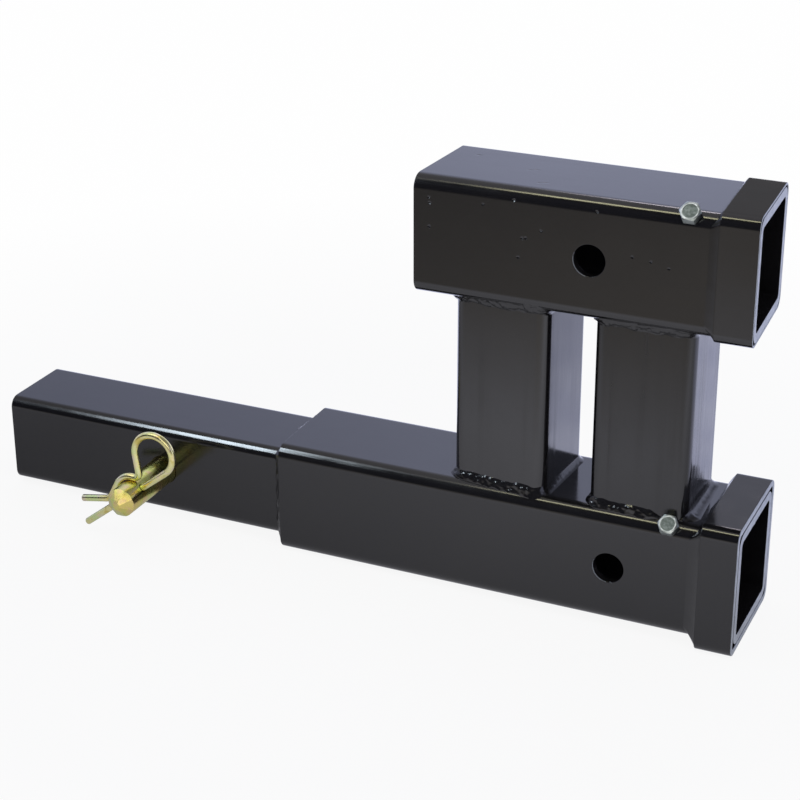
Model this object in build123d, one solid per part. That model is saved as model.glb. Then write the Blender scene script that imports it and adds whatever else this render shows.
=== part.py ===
from build123d import *
import math
import os

# Dual hitch receiver. A square shank, held in a vehicle's hitch by a bent pin and its
# spring clip, carries a lower receiver tube. Two posts stand on that tube and carry an
# upper one. Each receiver has a collar round its mouth, a pin hole through its sides
# and a small bolt in its top front corner, which takes up the play of what it holds.
# Sizes are millimetres and degrees. +X runs along the shank towards the two mouths,
# +Z is up, and the origin is the middle of the shank's pin hole.

# Square bar of the shank and the posts
BAR_SIDE = 50.8
BAR_WALL = 4.8
BAR_CORNER = 6.0
TIGHTEST_CORNER = 0.4
SHANK_OUTSTAND = 98.5
SHANK_LAP = 50.0

# Receiver tubes, whose bore takes the same square bar
SOCKET_CLEARANCE = 0.6
RECEIVER_WALL = 4.7
RECEIVER_CORNER = 7.0
LOWER_START = 75.0
LOWER_LENGTH = 252.0
UPPER_LENGTH = 169.3
UPPER_MOUTH_SETBACK = 2.3
UPPER_END_SLANT = 1.5
SEAM_OFFSET = 2.8
SEAM_WIDTH = 1.6
SEAM_HEIGHT = 0.5

# Posts between the tubes
POST_HEIGHT = 100.0
POST_GAP = 21.6
VEHICLE_POST_TWIST = 4.0
POST_SETBACK = 29.4

# Collars round the mouths
COLLAR_LENGTH = 19.0
COLLAR_CORNER = 6.0
LOWER_COLLAR_WALL = 3.4
LOWER_COLLAR_GAP = 0.8
UPPER_COLLAR_WALL = 1.2
UPPER_COLLAR_GAP = 0.4

# Weld beads
WELD_TOE = 0.6
POST_WELD_LEG = 3.0
POST_WELD_HEIGHT = 4.5
MOUTH_WELD_LEG = 5.5
SHANK_WELD_LEG = 4.0
LOWER_COLLAR_WELD_LEG = 4.0
UPPER_COLLAR_WELD_LEG = 2.5
WELD_BOLT_CLEARANCE = 0.8

# Hitch pin and the pin holes
PIN_RADIUS = 7.94
PIN_HOLE_CLEARANCE = 0.16
LOWER_PIN_SETBACK = 66.2
UPPER_PIN_SETBACK = 79.8
PIN_REACH = 48.4
PIN_TIP_LENGTH = 5.0
PIN_TIP_RADIUS = 2.0
PIN_TIP_SIDES = 8
PIN_SEAT_GAP = 0.3
PIN_BEND_RADIUS = 16.0
PIN_ARM = 45.0
PIN_ARM_DROP = 25.0

# Spring clip of round wire
CLIP_WIRE_RADIUS = 1.9
CLIP_HOLE_CLEARANCE = 0.3
CLIP_FROM_TIP = 16.8
CLIP_TILT = 37.7
CLIP_TAIL = 38.2
CLIP_LOOP_CENTRE = 27.0
CLIP_LOOP_RADIUS = 11.5
CLIP_HUG_GAP = 0.3
CLIP_HUG_START = 45.0
CLIP_HUG_END = 115.0
CLIP_NECK_LEAD = 3.8
CLIP_NECK_RADIUS = 2.7
CLIP_WAVE_RUN = 11.8
CLIP_WAVE_RADIUS = 6.0
CLIP_FLARE = 18.0
CLIP_FLARE_ANGLE = 27.0

# Corner bolts
BOLT_RADIUS = 3.0
BOLT_HOLE_CLEARANCE = 0.05
BOLT_LENGTH = 8.0
BOLT_ACROSS_FLATS = 9.5
BOLT_HEAD = 4.0
BOLT_HEAD_STANDOFF = 0.7
BOLT_RECESS_RADIUS = 3.6
BOLT_RECESS_DEPTH = 0.4
BOLT_CHAMFER_ANGLE = 30.0
BOLT_CHAMFER_INSET = 0.25
LOWER_BOLT_SETBACK = 36.3
UPPER_BOLT_SETBACK = 31.8

# How far a cutter runs past what it cuts
CUT_BEYOND = 5.0

# Sizes that follow from those above
SOCKET_SIDE = BAR_SIDE + 2 * SOCKET_CLEARANCE
RECEIVER_SIDE = SOCKET_SIDE + 2 * RECEIVER_WALL
LOWER_MOUTH = LOWER_START + LOWER_LENGTH
UPPER_MOUTH = LOWER_MOUTH - UPPER_MOUTH_SETBACK
UPPER_Z = RECEIVER_SIDE + POST_HEIGHT
MOUTH_POST_X = LOWER_MOUTH - POST_SETBACK - BAR_SIDE / 2
VEHICLE_POST_X = MOUTH_POST_X - POST_GAP - BAR_SIDE
LOWER_COLLAR_INSIDE = RECEIVER_SIDE + 2 * LOWER_COLLAR_GAP
UPPER_COLLAR_INSIDE = RECEIVER_SIDE + 2 * UPPER_COLLAR_GAP
PIN_HOLE_RADIUS = PIN_RADIUS + PIN_HOLE_CLEARANCE
PIN_TIP_Y = -BAR_SIDE / 2 - PIN_REACH
CLIP_Y = PIN_TIP_Y + CLIP_FROM_TIP
BOLT_SEAT = math.sqrt(2) * (RECEIVER_SIDE / 2 - RECEIVER_CORNER) + RECEIVER_CORNER
BOLT_CORNER_RADIUS = BOLT_ACROSS_FLATS / math.sqrt(3)


def inner_corner(corner, wall):
    """Radius inside a square tube's corner, never quite sharp."""
    return max(corner - wall, TIGHTEST_CORNER)


def bar(side, corner, start, end, z=0.0):
    """Square bar along X with rounded edges."""
    section = Plane.YZ.offset(start) * Pos(0, z) * RectangleRounded(side, side, corner)
    return extrude(section, end - start)


def square_tube(side, wall, corner, start, end, z=0.0):
    """Square tube along X, open at both ends."""
    hollow = bar(side - 2 * wall, inner_corner(corner, wall), start, end, z)
    return bar(side, corner, start, end, z) - hollow


def across(x, z, slant=0.0):
    """Plane across a tube at its mouth's side. Its front edge lies further along X by the slant."""
    half = RECEIVER_SIDE / 2
    return Plane(origin=(x, 0, z), x_dir=(-slant, half, 0), z_dir=(half, slant, 0))


def end_trimmer(start, start_slant, end, end_slant, z):
    """Block that keeps a tube between two ends, whose front edges lie further along X by their slants."""
    reach = RECEIVER_SIDE
    start_shift = start_slant * reach / (RECEIVER_SIDE / 2)
    end_shift = end_slant * reach / (RECEIVER_SIDE / 2)
    front = [(start + start_shift, -reach), (end + end_shift, -reach)]
    back = [(end - end_shift, reach), (start - start_shift, reach)]
    plan = Plane.XY.offset(z - reach) * Polygon(*front, *back, align=None)
    return extrude(plan, 2 * reach, dir=(0, 0, 1))


def cross_hole(x, z=0.0):
    """Cutter for a pin hole through both side walls, along Y."""
    return Pos(x, 0, z) * Rot(90, 0, 0) * Cylinder(PIN_HOLE_RADIUS, RECEIVER_SIDE + 2 * CUT_BEYOND)


def corner_plane(x, z):
    """Plane through a tube's centre line, with its normal out of the top front corner."""
    return Plane(origin=(x, 0, z), x_dir=(1, 0, 0), z_dir=(0, -1, 1))


def standing_cylinder(radius, start, end):
    """Cylinder on the local Z axis between two heights."""
    return Pos(0, 0, start) * Cylinder(radius, end - start, align=(Align.CENTER, Align.CENTER, Align.MIN))


def bolt_hole(x, z):
    """Cutter for the bolt hole in the tube's top front corner."""
    radius = BOLT_RADIUS + BOLT_HOLE_CLEARANCE
    return corner_plane(x, z) * standing_cylinder(radius, SOCKET_SIDE / 2, BOLT_SEAT + CUT_BEYOND)


def receiver(start, mouth, pin_setback, bolt_setback, z, slant=0.0):
    """Receiver tube with its pin hole and its bolt hole. With a slant, its ends aren't
    sawn quite square: each reaches further out at the front."""
    blank = (start - CUT_BEYOND, mouth + CUT_BEYOND)
    tube = square_tube(RECEIVER_SIDE, RECEIVER_WALL, RECEIVER_CORNER, *blank, z)
    tube = tube & end_trimmer(start, -slant, mouth, slant, z)
    return tube - cross_hole(mouth - pin_setback, z) - bolt_hole(mouth - bolt_setback, z)


def seam(start, end):
    """Flattened weld seam of the tube's own making, along the inside of its top wall."""
    size = (end - start, SEAM_WIDTH, SEAM_HEIGHT)
    top = (Align.MIN, Align.CENTER, Align.MAX)
    return Pos(start, -SEAM_OFFSET, SOCKET_SIDE / 2) * Box(*size, align=top)


def shank():
    """Square tube that goes into the vehicle's hitch, with its end inside the lower tube."""
    tube = square_tube(BAR_SIDE, BAR_WALL, BAR_CORNER, -SHANK_OUTSTAND, LOWER_START + SHANK_LAP)
    return tube - cross_hole(0)


def post_bar(x, side, corner, twist):
    """Upright solid bar between the tubes, turned towards the mouths by its twist."""
    foot = Pos(x, 0, RECEIVER_SIDE / 2) * Rot(0, 0, -twist)
    return extrude(foot * RectangleRounded(side, side, corner), POST_HEIGHT)


def post(x, twist=0.0):
    """Upright square tube between the two receiver tubes."""
    inside = BAR_SIDE - 2 * BAR_WALL
    hollow = post_bar(x, inside, inner_corner(BAR_CORNER, BAR_WALL), twist)
    return post_bar(x, BAR_SIDE, BAR_CORNER, twist) - hollow


def collar(mouth, inside, wall, z, slant=0.0):
    """Square ring round a receiver's mouth, flush with the mouth."""
    start = mouth - COLLAR_LENGTH
    blank = (start - CUT_BEYOND, mouth + CUT_BEYOND)
    ring = square_tube(inside + 2 * wall, wall, COLLAR_CORNER, *blank, z)
    return ring & end_trimmer(start, slant, mouth, slant, z)


def post_weld(x, flat, away, mouth_leg, twist=0.0):
    """Bead round one end of a post. It fills down to the tube's rounded edges, and away
    is the direction from the tube's flat along the post."""
    width = BAR_SIDE + POST_WELD_LEG + mouth_leg
    depth = BAR_SIDE + 2 * POST_WELD_LEG
    turn = Rot(0, 0, -twist)
    shift = Pos((mouth_leg - POST_WELD_LEG) / 2, 0)
    foot = Pos(x, 0, flat) * turn * shift * RectangleRounded(width, depth, BAR_CORNER + POST_WELD_LEG)
    toe_side = BAR_SIDE + 2 * WELD_TOE
    toe_corner = BAR_CORNER + WELD_TOE
    toe_z = flat + away * POST_WELD_HEIGHT
    toe = Pos(x, 0, toe_z) * turn * RectangleRounded(toe_side, toe_side, toe_corner)
    bead = loft([foot, toe], ruled=True) + extrude(foot, -away * RECEIVER_CORNER, dir=(0, 0, 1))
    tube_z = flat - away * RECEIVER_SIDE / 2
    tube = bar(RECEIVER_SIDE, RECEIVER_CORNER, x - BAR_SIDE, x + BAR_SIDE, tube_z)
    return bead - post_bar(x, BAR_SIDE, BAR_CORNER, twist) - tube


def lower_mouth_post_weld():
    """Bead at the foot of the mouth-side post, left open where the lower bolt's head sits."""
    x = LOWER_MOUTH - LOWER_BOLT_SETBACK
    radius = BOLT_CORNER_RADIUS + WELD_BOLT_CLEARANCE
    room = standing_cylinder(radius, SOCKET_SIDE / 2, BOLT_SEAT + BOLT_LENGTH)
    bead = post_weld(MOUTH_POST_X, RECEIVER_SIDE / 2, 1, MOUTH_WELD_LEG)
    return bead - corner_plane(x, 0) * room


def lap_weld(small, small_corner, large, large_corner, end, leg, z, slant=0.0):
    """Bead round a square bar, tapering up to the end face of a larger tube round it."""
    small_side = small + 2 * WELD_TOE
    large_side = large - 2 * WELD_TOE
    narrow = across(end - leg, z, slant) * RectangleRounded(small_side, small_side, small_corner)
    wide = across(end, z, slant) * RectangleRounded(large_side, large_side, large_corner)
    bead = loft([narrow, wide], ruled=True)
    return bead - bar(small, small_corner, end - leg - CUT_BEYOND, end + CUT_BEYOND, z)


def arm_plane():
    """Plane of the bent pin: local X runs along the pin, local Y along its arm."""
    drop = math.radians(PIN_ARM_DROP)
    arm = Vector(-math.cos(drop), 0, -math.sin(drop))
    along = Vector(0, 1, 0)
    return Plane(origin=(0, 0, 0), x_dir=along, z_dir=along.cross(arm))


def pin_tip():
    """Faceted nose of the pin."""
    start = PIN_TIP_Y + PIN_TIP_LENGTH
    corner = 1 / math.cos(math.pi / PIN_TIP_SIDES)
    back = Plane.YZ.offset(start) * RegularPolygon(PIN_RADIUS * corner, PIN_TIP_SIDES)
    front = Plane.YZ.offset(PIN_TIP_Y) * RegularPolygon(PIN_TIP_RADIUS * corner, PIN_TIP_SIDES)
    round_part = Pos(start, 0, 0) * Rot(0, -90, 0) * standing_cylinder(PIN_RADIUS, 0, PIN_TIP_LENGTH)
    return loft([front, back], ruled=True) & round_part


def clip_plane():
    """Plane of the spring clip: local X runs along its straight leg, local Y to its loop's side."""
    tilt = math.radians(CLIP_TILT)
    return Plane(origin=(0, CLIP_Y, 0), x_dir=(math.cos(tilt), 0, math.sin(tilt)), z_dir=(0, -1, 0))


def hitch_pin():
    """Round bar bent at a right angle behind the shank, with a cross hole for its clip."""
    bend_start = BAR_SIDE / 2 + PIN_SEAT_GAP
    bend_end = bend_start + PIN_BEND_RADIUS
    straight = Line((PIN_TIP_Y + PIN_TIP_LENGTH, 0), (bend_start, 0))
    bend = CenterArc((bend_start, PIN_BEND_RADIUS), PIN_BEND_RADIUS, -90, 90)
    arm = Line((bend_end, PIN_BEND_RADIUS), (bend_end, PIN_ARM))
    section = Plane(origin=straight @ 0, z_dir=(1, 0, 0)) * Circle(PIN_RADIUS)
    bent_bar = sweep(section, path=straight + bend + arm)
    hole_radius = CLIP_WIRE_RADIUS + CLIP_HOLE_CLEARANCE
    hole = clip_plane() * Rot(0, 90, 0) * Cylinder(hole_radius, 2 * (PIN_RADIUS + CUT_BEYOND))
    return arm_plane() * (bent_bar + pin_tip()) - hole


def turned(length, angle):
    """Vector of a length at an angle, in the clip's plane."""
    return Vector(length * math.cos(math.radians(angle)), length * math.sin(math.radians(angle)))


def clip_path():
    """Centre line of the clip's wire: the straight leg, the loop, then the leg that hugs the pin."""
    tail = Vector(-CLIP_TAIL, 0)
    loop_centre = Vector(CLIP_LOOP_CENTRE, CLIP_LOOP_RADIUS)
    hug_radius = PIN_RADIUS + CLIP_WIRE_RADIUS + CLIP_HUG_GAP
    hug_from = turned(hug_radius, CLIP_HUG_START)
    hug_to = turned(hug_radius, CLIP_HUG_END)
    neck = hug_from + turned(CLIP_NECK_LEAD, CLIP_HUG_START - 90)
    wave = hug_to + turned(CLIP_WAVE_RUN, CLIP_HUG_END + 90)
    tip = wave + turned(CLIP_FLARE, 180 - CLIP_FLARE_ANGLE)
    # The wire leaves the loop along the tangent that runs to the neck
    to_centre = loop_centre - neck
    heading = math.degrees(math.atan2(to_centre.Y, to_centre.X))
    heading += math.degrees(math.asin(CLIP_LOOP_RADIUS / to_centre.length))
    leave = neck + turned(math.sqrt(to_centre.length**2 - CLIP_LOOP_RADIUS**2), heading)
    path = Line(tail, (CLIP_LOOP_CENTRE, 0))
    path += CenterArc(loop_centre, CLIP_LOOP_RADIUS, -90, heading + 180)
    path += FilletPolyline(leave, neck, hug_from, radius=CLIP_NECK_RADIUS)
    path += CenterArc((0, 0), hug_radius, CLIP_HUG_START, CLIP_HUG_END - CLIP_HUG_START)
    path += FilletPolyline(hug_to, wave, tip, radius=CLIP_WAVE_RADIUS)
    return path


def pin_clip():
    """Spring clip: its straight leg goes through the pin, its wavy leg over the outside."""
    section = Plane(origin=(-CLIP_TAIL, 0, 0), z_dir=(1, 0, 0)) * Circle(CLIP_WIRE_RADIUS)
    return clip_plane() * sweep(section, path=clip_path())


def corner_bolt(x, z):
    """Short hexagon bolt, a little unscrewed, with a shallow dish in its head."""
    seat = BOLT_SEAT + BOLT_HEAD_STANDOFF
    top = seat + BOLT_HEAD
    top_radius = BOLT_ACROSS_FLATS / 2 - BOLT_CHAMFER_INSET
    spread = BOLT_HEAD / math.tan(math.radians(BOLT_CHAMFER_ANGLE))
    hexagon = extrude(Pos(0, 0, seat) * RegularPolygon(BOLT_CORNER_RADIUS, 6), BOLT_HEAD)
    cone = Pos(0, 0, seat + BOLT_HEAD / 2) * Cone(top_radius + spread, top_radius, BOLT_HEAD)
    shaft = standing_cylinder(BOLT_RADIUS, seat - BOLT_LENGTH, seat + BOLT_HEAD / 2)
    dish = standing_cylinder(BOLT_RECESS_RADIUS, top - BOLT_RECESS_DEPTH, top + BOLT_HEAD)
    return corner_plane(x, z) * ((hexagon & cone) + shaft - dish)


def pieces():
    """Every piece under its node name."""
    lower_top = RECEIVER_SIDE / 2
    upper_bottom = UPPER_Z - RECEIVER_SIDE / 2
    upper_start = UPPER_MOUTH - UPPER_LENGTH
    lower_tube = receiver(LOWER_START, LOWER_MOUTH, LOWER_PIN_SETBACK, LOWER_BOLT_SETBACK, 0)
    lower_collar_outside = LOWER_COLLAR_INSIDE + 2 * LOWER_COLLAR_WALL
    upper_collar_outside = UPPER_COLLAR_INSIDE + 2 * UPPER_COLLAR_WALL
    return {
        "shank": shank(),
        "lower_receiver_tube": lower_tube + seam(LOWER_START, LOWER_MOUTH),
        "upper_receiver_tube": receiver(
            upper_start, UPPER_MOUTH, UPPER_PIN_SETBACK, UPPER_BOLT_SETBACK, UPPER_Z, UPPER_END_SLANT
        ),
        "post_vehicle_side": post(VEHICLE_POST_X, VEHICLE_POST_TWIST),
        "post_mouth_side": post(MOUTH_POST_X),
        "lower_collar": collar(LOWER_MOUTH, LOWER_COLLAR_INSIDE, LOWER_COLLAR_WALL, 0),
        "upper_collar": collar(
            UPPER_MOUTH, UPPER_COLLAR_INSIDE, UPPER_COLLAR_WALL, UPPER_Z, UPPER_END_SLANT
        ),
        "shank_weld": lap_weld(
            BAR_SIDE, BAR_CORNER, RECEIVER_SIDE, RECEIVER_CORNER, LOWER_START, SHANK_WELD_LEG, 0
        ),
        "vehicle_post_bottom_weld": post_weld(
            VEHICLE_POST_X, lower_top, 1, POST_WELD_LEG, VEHICLE_POST_TWIST
        ),
        "vehicle_post_top_weld": post_weld(
            VEHICLE_POST_X, upper_bottom, -1, POST_WELD_LEG, VEHICLE_POST_TWIST
        ),
        "mouth_post_bottom_weld": lower_mouth_post_weld(),
        "mouth_post_top_weld": post_weld(MOUTH_POST_X, upper_bottom, -1, POST_WELD_LEG),
        "lower_collar_weld": lap_weld(
            RECEIVER_SIDE, RECEIVER_CORNER, lower_collar_outside, COLLAR_CORNER,
            LOWER_MOUTH - COLLAR_LENGTH, LOWER_COLLAR_WELD_LEG, 0,
        ),
        "upper_collar_weld": lap_weld(
            RECEIVER_SIDE, RECEIVER_CORNER, upper_collar_outside, COLLAR_CORNER,
            UPPER_MOUTH - COLLAR_LENGTH, UPPER_COLLAR_WELD_LEG, UPPER_Z, UPPER_END_SLANT,
        ),
        "hitch_pin": hitch_pin(),
        "pin_clip": pin_clip(),
        "lower_corner_bolt": corner_bolt(LOWER_MOUTH - LOWER_BOLT_SETBACK, 0),
        "upper_corner_bolt": corner_bolt(UPPER_MOUTH - UPPER_BOLT_SETBACK, UPPER_Z),
    }


os.makedirs("parts", exist_ok=True)
for name, piece in pieces().items():
    export_step(piece, f"parts/{name}.step")
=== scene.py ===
import math

import bmesh
import bpy
from mathutils import Matrix, Vector, noise

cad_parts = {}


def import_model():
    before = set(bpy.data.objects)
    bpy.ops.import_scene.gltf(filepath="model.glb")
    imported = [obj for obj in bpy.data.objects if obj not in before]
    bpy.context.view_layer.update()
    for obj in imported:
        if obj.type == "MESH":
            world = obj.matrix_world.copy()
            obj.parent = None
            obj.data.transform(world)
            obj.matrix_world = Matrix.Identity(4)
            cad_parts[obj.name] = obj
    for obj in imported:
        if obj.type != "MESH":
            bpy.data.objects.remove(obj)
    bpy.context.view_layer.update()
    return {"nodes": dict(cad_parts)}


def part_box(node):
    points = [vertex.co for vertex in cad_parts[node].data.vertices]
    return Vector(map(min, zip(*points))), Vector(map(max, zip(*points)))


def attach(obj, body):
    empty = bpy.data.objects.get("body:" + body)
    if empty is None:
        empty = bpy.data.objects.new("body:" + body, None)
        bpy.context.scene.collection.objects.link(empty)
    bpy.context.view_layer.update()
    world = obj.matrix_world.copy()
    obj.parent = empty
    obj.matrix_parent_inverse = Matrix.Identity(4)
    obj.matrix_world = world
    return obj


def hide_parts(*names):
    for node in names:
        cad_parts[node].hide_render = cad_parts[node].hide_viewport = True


# A dual hitch receiver in gloss black paint, on a pale floor. The frame is in metres:
# +X runs along the shank to the receiver mouths, +Z is up, and the camera is on the -Y side.

MM = 0.001

# Camera that shows the part as the photograph does, with its angles in degrees
CAMERA_PLACE = (0.521545, -0.852463, 0.477096)
CAMERA_AZIMUTH = 23.583
CAMERA_ELEVATION = 22.43
CAMERA_ROLL = 0.215
CAMERA_LENS = 87.5
CAMERA_SENSOR = 36.0
CAMERA_SHIFT = (-0.0370, -0.0747)

# Sizes that the dressed pieces share with the solids
RECEIVER_CORNER = 7.0 * MM
BAR_CORNER = 6.0 * MM
COLLAR_CORNER = 6.0 * MM
VEHICLE_POST_TURN = math.radians(-4.0)
UPPER_END_SLANT = 1.5 * MM
BOLT_RADIUS = 3.0 * MM
BOLT_AXIS = Vector((0, -1, 1)).normalized()

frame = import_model()


def box_of(node):
    """Lowest and highest corner of a node, as vectors."""
    low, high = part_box(node)
    return Vector(low), Vector(high)


def middle_of(node):
    """Middle of a node's box."""
    low, high = box_of(node)
    return (low + high) / 2


LOWER_LOW, LOWER_HIGH = box_of("lower_receiver_tube")
UPPER_LOW, UPPER_HIGH = box_of("upper_receiver_tube")
SHANK_LOW, SHANK_HIGH = box_of("shank")
LOWER_COLLAR_LOW, LOWER_COLLAR_HIGH = box_of("lower_collar")
UPPER_COLLAR_LOW, UPPER_COLLAR_HIGH = box_of("upper_collar")
LOWER_Z = (LOWER_LOW.z + LOWER_HIGH.z) / 2
UPPER_Z = (UPPER_LOW.z + UPPER_HIGH.z) / 2
RECEIVER_HALF = (LOWER_HIGH.z - LOWER_LOW.z) / 2
BAR_HALF = (SHANK_HIGH.z - SHANK_LOW.z) / 2
UPPER_LEAN = UPPER_END_SLANT / RECEIVER_HALF


# Shader helpers


class Nodes:
    """Small helper that adds shader nodes and wires them by socket name."""

    def __init__(self, block):
        block.use_nodes = True
        self.tree = block.node_tree
        self.tree.nodes.clear()

    def add(self, kind, inputs=None, **settings):
        node = self.tree.nodes.new(kind)
        for name, value in settings.items():
            setattr(node, name, value)
        for name, value in (inputs or {}).items():
            self.feed(node.inputs[name], value)
        return node

    def feed(self, socket, value):
        if isinstance(value, bpy.types.NodeSocket):
            self.tree.links.new(value, socket)
        else:
            socket.default_value = value

    def place(self, scale=(1, 1, 1)):
        """Position on the piece, in its own metres, stretched by a scale on each axis."""
        inputs = {"Vector": self.add("ShaderNodeTexCoord").outputs["Object"], "Scale": scale}
        return self.add("ShaderNodeMapping", inputs).outputs["Vector"]

    def split(self, vector):
        """X, Y and Z of a vector."""
        return self.add("ShaderNodeSeparateXYZ", {"Vector": vector}).outputs

    def noise(self, place, scale, detail=2.0, roughness=0.5):
        inputs = {"Vector": place, "Scale": scale, "Detail": detail, "Roughness": roughness}
        return self.add("ShaderNodeTexNoise", inputs).outputs["Fac"]

    def math(self, operation, *values):
        node = self.add("ShaderNodeMath", operation=operation)
        for socket, value in zip(node.inputs, values):
            self.feed(socket, value)
        return node.outputs[0]

    def remap(self, value, low, high, to_low, to_high):
        """Value moved from one range to another, and kept inside it."""
        inputs = {"Value": value, "From Min": low, "From Max": high,
                  "To Min": to_low, "To Max": to_high}
        return self.add("ShaderNodeMapRange", inputs, clamp=True).outputs["Result"]

    def share(self, value, low, high):
        """How far a value is from low to high, from 0 to 1."""
        return self.remap(value, low, high, 0.0, 1.0)

    def distance(self, first, second):
        inputs = {0: first, 1: second}
        return self.add("ShaderNodeVectorMath", inputs, operation="DISTANCE").outputs["Value"]

    def scaled(self, colour, level):
        inputs = {0: colour, "Scale": level}
        return self.add("ShaderNodeVectorMath", inputs, operation="SCALE").outputs["Vector"]

    def tinted(self, colour, tint):
        inputs = {0: colour, 1: tint}
        return self.add("ShaderNodeVectorMath", inputs, operation="MULTIPLY").outputs["Vector"]

    def blend(self, share, first, second):
        """Mix of two colours."""
        node = self.add("ShaderNodeMix", data_type="RGBA")
        colours = [socket for socket in node.inputs if socket.type == "RGBA"]
        self.feed(node.inputs[0], share)
        self.feed(colours[0], first)
        self.feed(colours[1], second)
        return [socket for socket in node.outputs if socket.type == "RGBA"][0]

    def bump(self, height, distance, strength=1.0, normal=None):
        inputs = {"Height": height, "Distance": distance, "Strength": strength}
        if normal is not None:
            inputs["Normal"] = normal
        return self.add("ShaderNodeBump", inputs).outputs["Normal"]

    def surface(self, shader, output="ShaderNodeOutputMaterial"):
        self.feed(self.add(output).inputs["Surface"], shader)

    def coat(self, colour, roughness, normal, **more):
        """Finishes a material with one Principled shader."""
        inputs = {"Base Color": colour, "Roughness": roughness, "Normal": normal, **more}
        self.surface(self.add("ShaderNodeBsdfPrincipled", inputs).outputs["BSDF"])


def start_material(name):
    """New material, its nodes and the position on the piece."""
    material = bpy.data.materials.new(name)
    nodes = Nodes(material)
    return material, nodes, nodes.place()


def grey(value):
    return (value, value, value, 1.0)


# Materials


# Stretch of the drawing lines and saw marks
ALONG_BAR = (6.0, 260.0, 260.0)
ALONG_POST = (260.0, 260.0, 6.0)
SAW_MARKS = (40.0, 260.0, 2600.0)

# Colours, with the two ends of each mottle as a pair
PAINT_TONES = ((0.0085, 0.0080, 0.0090, 1), (0.0125, 0.0115, 0.0120, 1))
DUST = (0.20, 0.20, 0.21, 1)
# The rims' pale tones stand partly for sawn steel and partly for painted highlight
RIM_TONES_WITH_HIGHLIGHT = ((0.29, 0.315, 0.34, 1), (0.45, 0.48, 0.515, 1))
STRAW_TONES = ((0.94, 0.86, 0.40, 1), (0.76, 0.88, 0.40, 1))
PINK_BLOOM = (0.92, 0.72, 0.62, 1)
AMBER_STAIN = (0.70, 0.56, 0.12, 1)
CLEAR_ZINC_TONES = ((0.40, 0.45, 0.43, 1), (0.66, 0.71, 0.70, 1))
DISH_TONES = ((0.15, 0.19, 0.16, 1), (0.35, 0.41, 0.36, 1))

# Depths of what is bump alone
SWELL_DEPTH = 0.25 * MM
LINE_DEPTH = 0.03 * MM
PEEL_DEPTH = 0.02 * MM
PIT_DEPTH = 0.12 * MM
MARK_DEPTH = 0.45 * MM
SAW_DEPTH = 0.04 * MM
PLATING_DEPTH = 0.03 * MM
DISH_DEPTH = 0.05 * MM

# Roughness of the paint, and what streaks and weld lumps add to it
PAINT_GLOSS = (0.08, 0.16)
STREAK_DULLING = 0.12
LUMP_DULLING = 0.14

# Collars: how far a normal may be off an axis to be turned, and the turn of the fronts
DIP_FROM = 0.92
FRONT_DIP = math.radians(4)

# Middles of the larger pits on the upper tube's front and of the scuffs on its top, in mm
FRONT_PITS = ((162.2, 181.9), (162.6, 179.2), (162.3, 167.1), (190.4, 182.2), (206.3, 186.4),
              (209.0, 158.0), (210.8, 167.9), (212.6, 168.2), (220.3, 172.8), (247.9, 186.2),
              (265.9, 166.5), (275.2, 165.4), (284.1, 163.3))
TOP_SCUFFS = ((171.0, 12.7), (202.7, -0.3), (206.0, 1.0), (214.4, -17.7), (217.0, -16.6))
PIT_STRETCH, PIT_RADIUS = 1.15, 0.8 * MM
SCUFF_STRETCH, SCUFF_RADIUS = 4.0, 0.6 * MM
SCUFF_SHARE = 0.5


def sparse_pits(nodes, place):
    """Height of a few small craters in the paint, scattered at random."""
    cells = nodes.add("ShaderNodeTexVoronoi", {"Vector": place, "Scale": 40.0, "Randomness": 1.0})
    crater = nodes.remap(cells.outputs["Distance"], 0.012, 0.032, -1.0, 0.0)
    draw = nodes.add("ShaderNodeSeparateColor", {"Color": cells.outputs["Color"]}).outputs["Red"]
    chosen = nodes.math("GREATER_THAN", draw, 0.80)
    return nodes.math("MULTIPLY", crater, chosen)


def marks_at(nodes, spots, stretch, radius):
    """Height of marks of a radius at given spots, each stretched along X."""
    place = nodes.place((1 / stretch, 1.0, 1.0))
    wobble = nodes.noise(place, 900.0, 2.0)
    nearest = None
    for spot in spots:
        away = nodes.distance(place, (spot.x / stretch, spot.y, spot.z))
        nearest = away if nearest is None else nodes.math("MINIMUM", nearest, away)
    uneven = nodes.math("MULTIPLY_ADD", wobble, 0.9 * radius, nearest)
    return nodes.remap(uneven, 0.5 * radius, 1.5 * radius, -1.0, 0.0)


def upper_tube_marks(nodes):
    """Pits on the upper tube's front and faint scuffs on its top."""
    fronts = [Vector((x * MM, UPPER_LOW.y, z * MM)) for x, z in FRONT_PITS]
    tops = [Vector((x * MM, y * MM, UPPER_HIGH.z)) for x, y in TOP_SCUFFS]
    pits = marks_at(nodes, fronts, PIT_STRETCH, PIT_RADIUS)
    scuffs = marks_at(nodes, tops, SCUFF_STRETCH, SCUFF_RADIUS)
    return nodes.math("MULTIPLY_ADD", scuffs, SCUFF_SHARE, pits)


def dressed_normal(nodes, top_dip):
    """Shading normal of a collar, turned on its top and front further than the metal is, so
    that they mirror the room as the photograph's do."""
    facing = nodes.add("ShaderNodeNewGeometry").outputs["Normal"]
    _, y, z = nodes.split(facing)
    top = nodes.remap(z, DIP_FROM, 1.0, 0.0, top_dip)
    front = nodes.remap(y, -1.0, -DIP_FROM, FRONT_DIP, 0.0)
    inputs = {"Vector": facing, "Angle": nodes.math("ADD", top, front)}
    turned = nodes.add("ShaderNodeVectorRotate", inputs, rotation_type="X_AXIS")
    return turned.outputs["Vector"]


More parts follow.
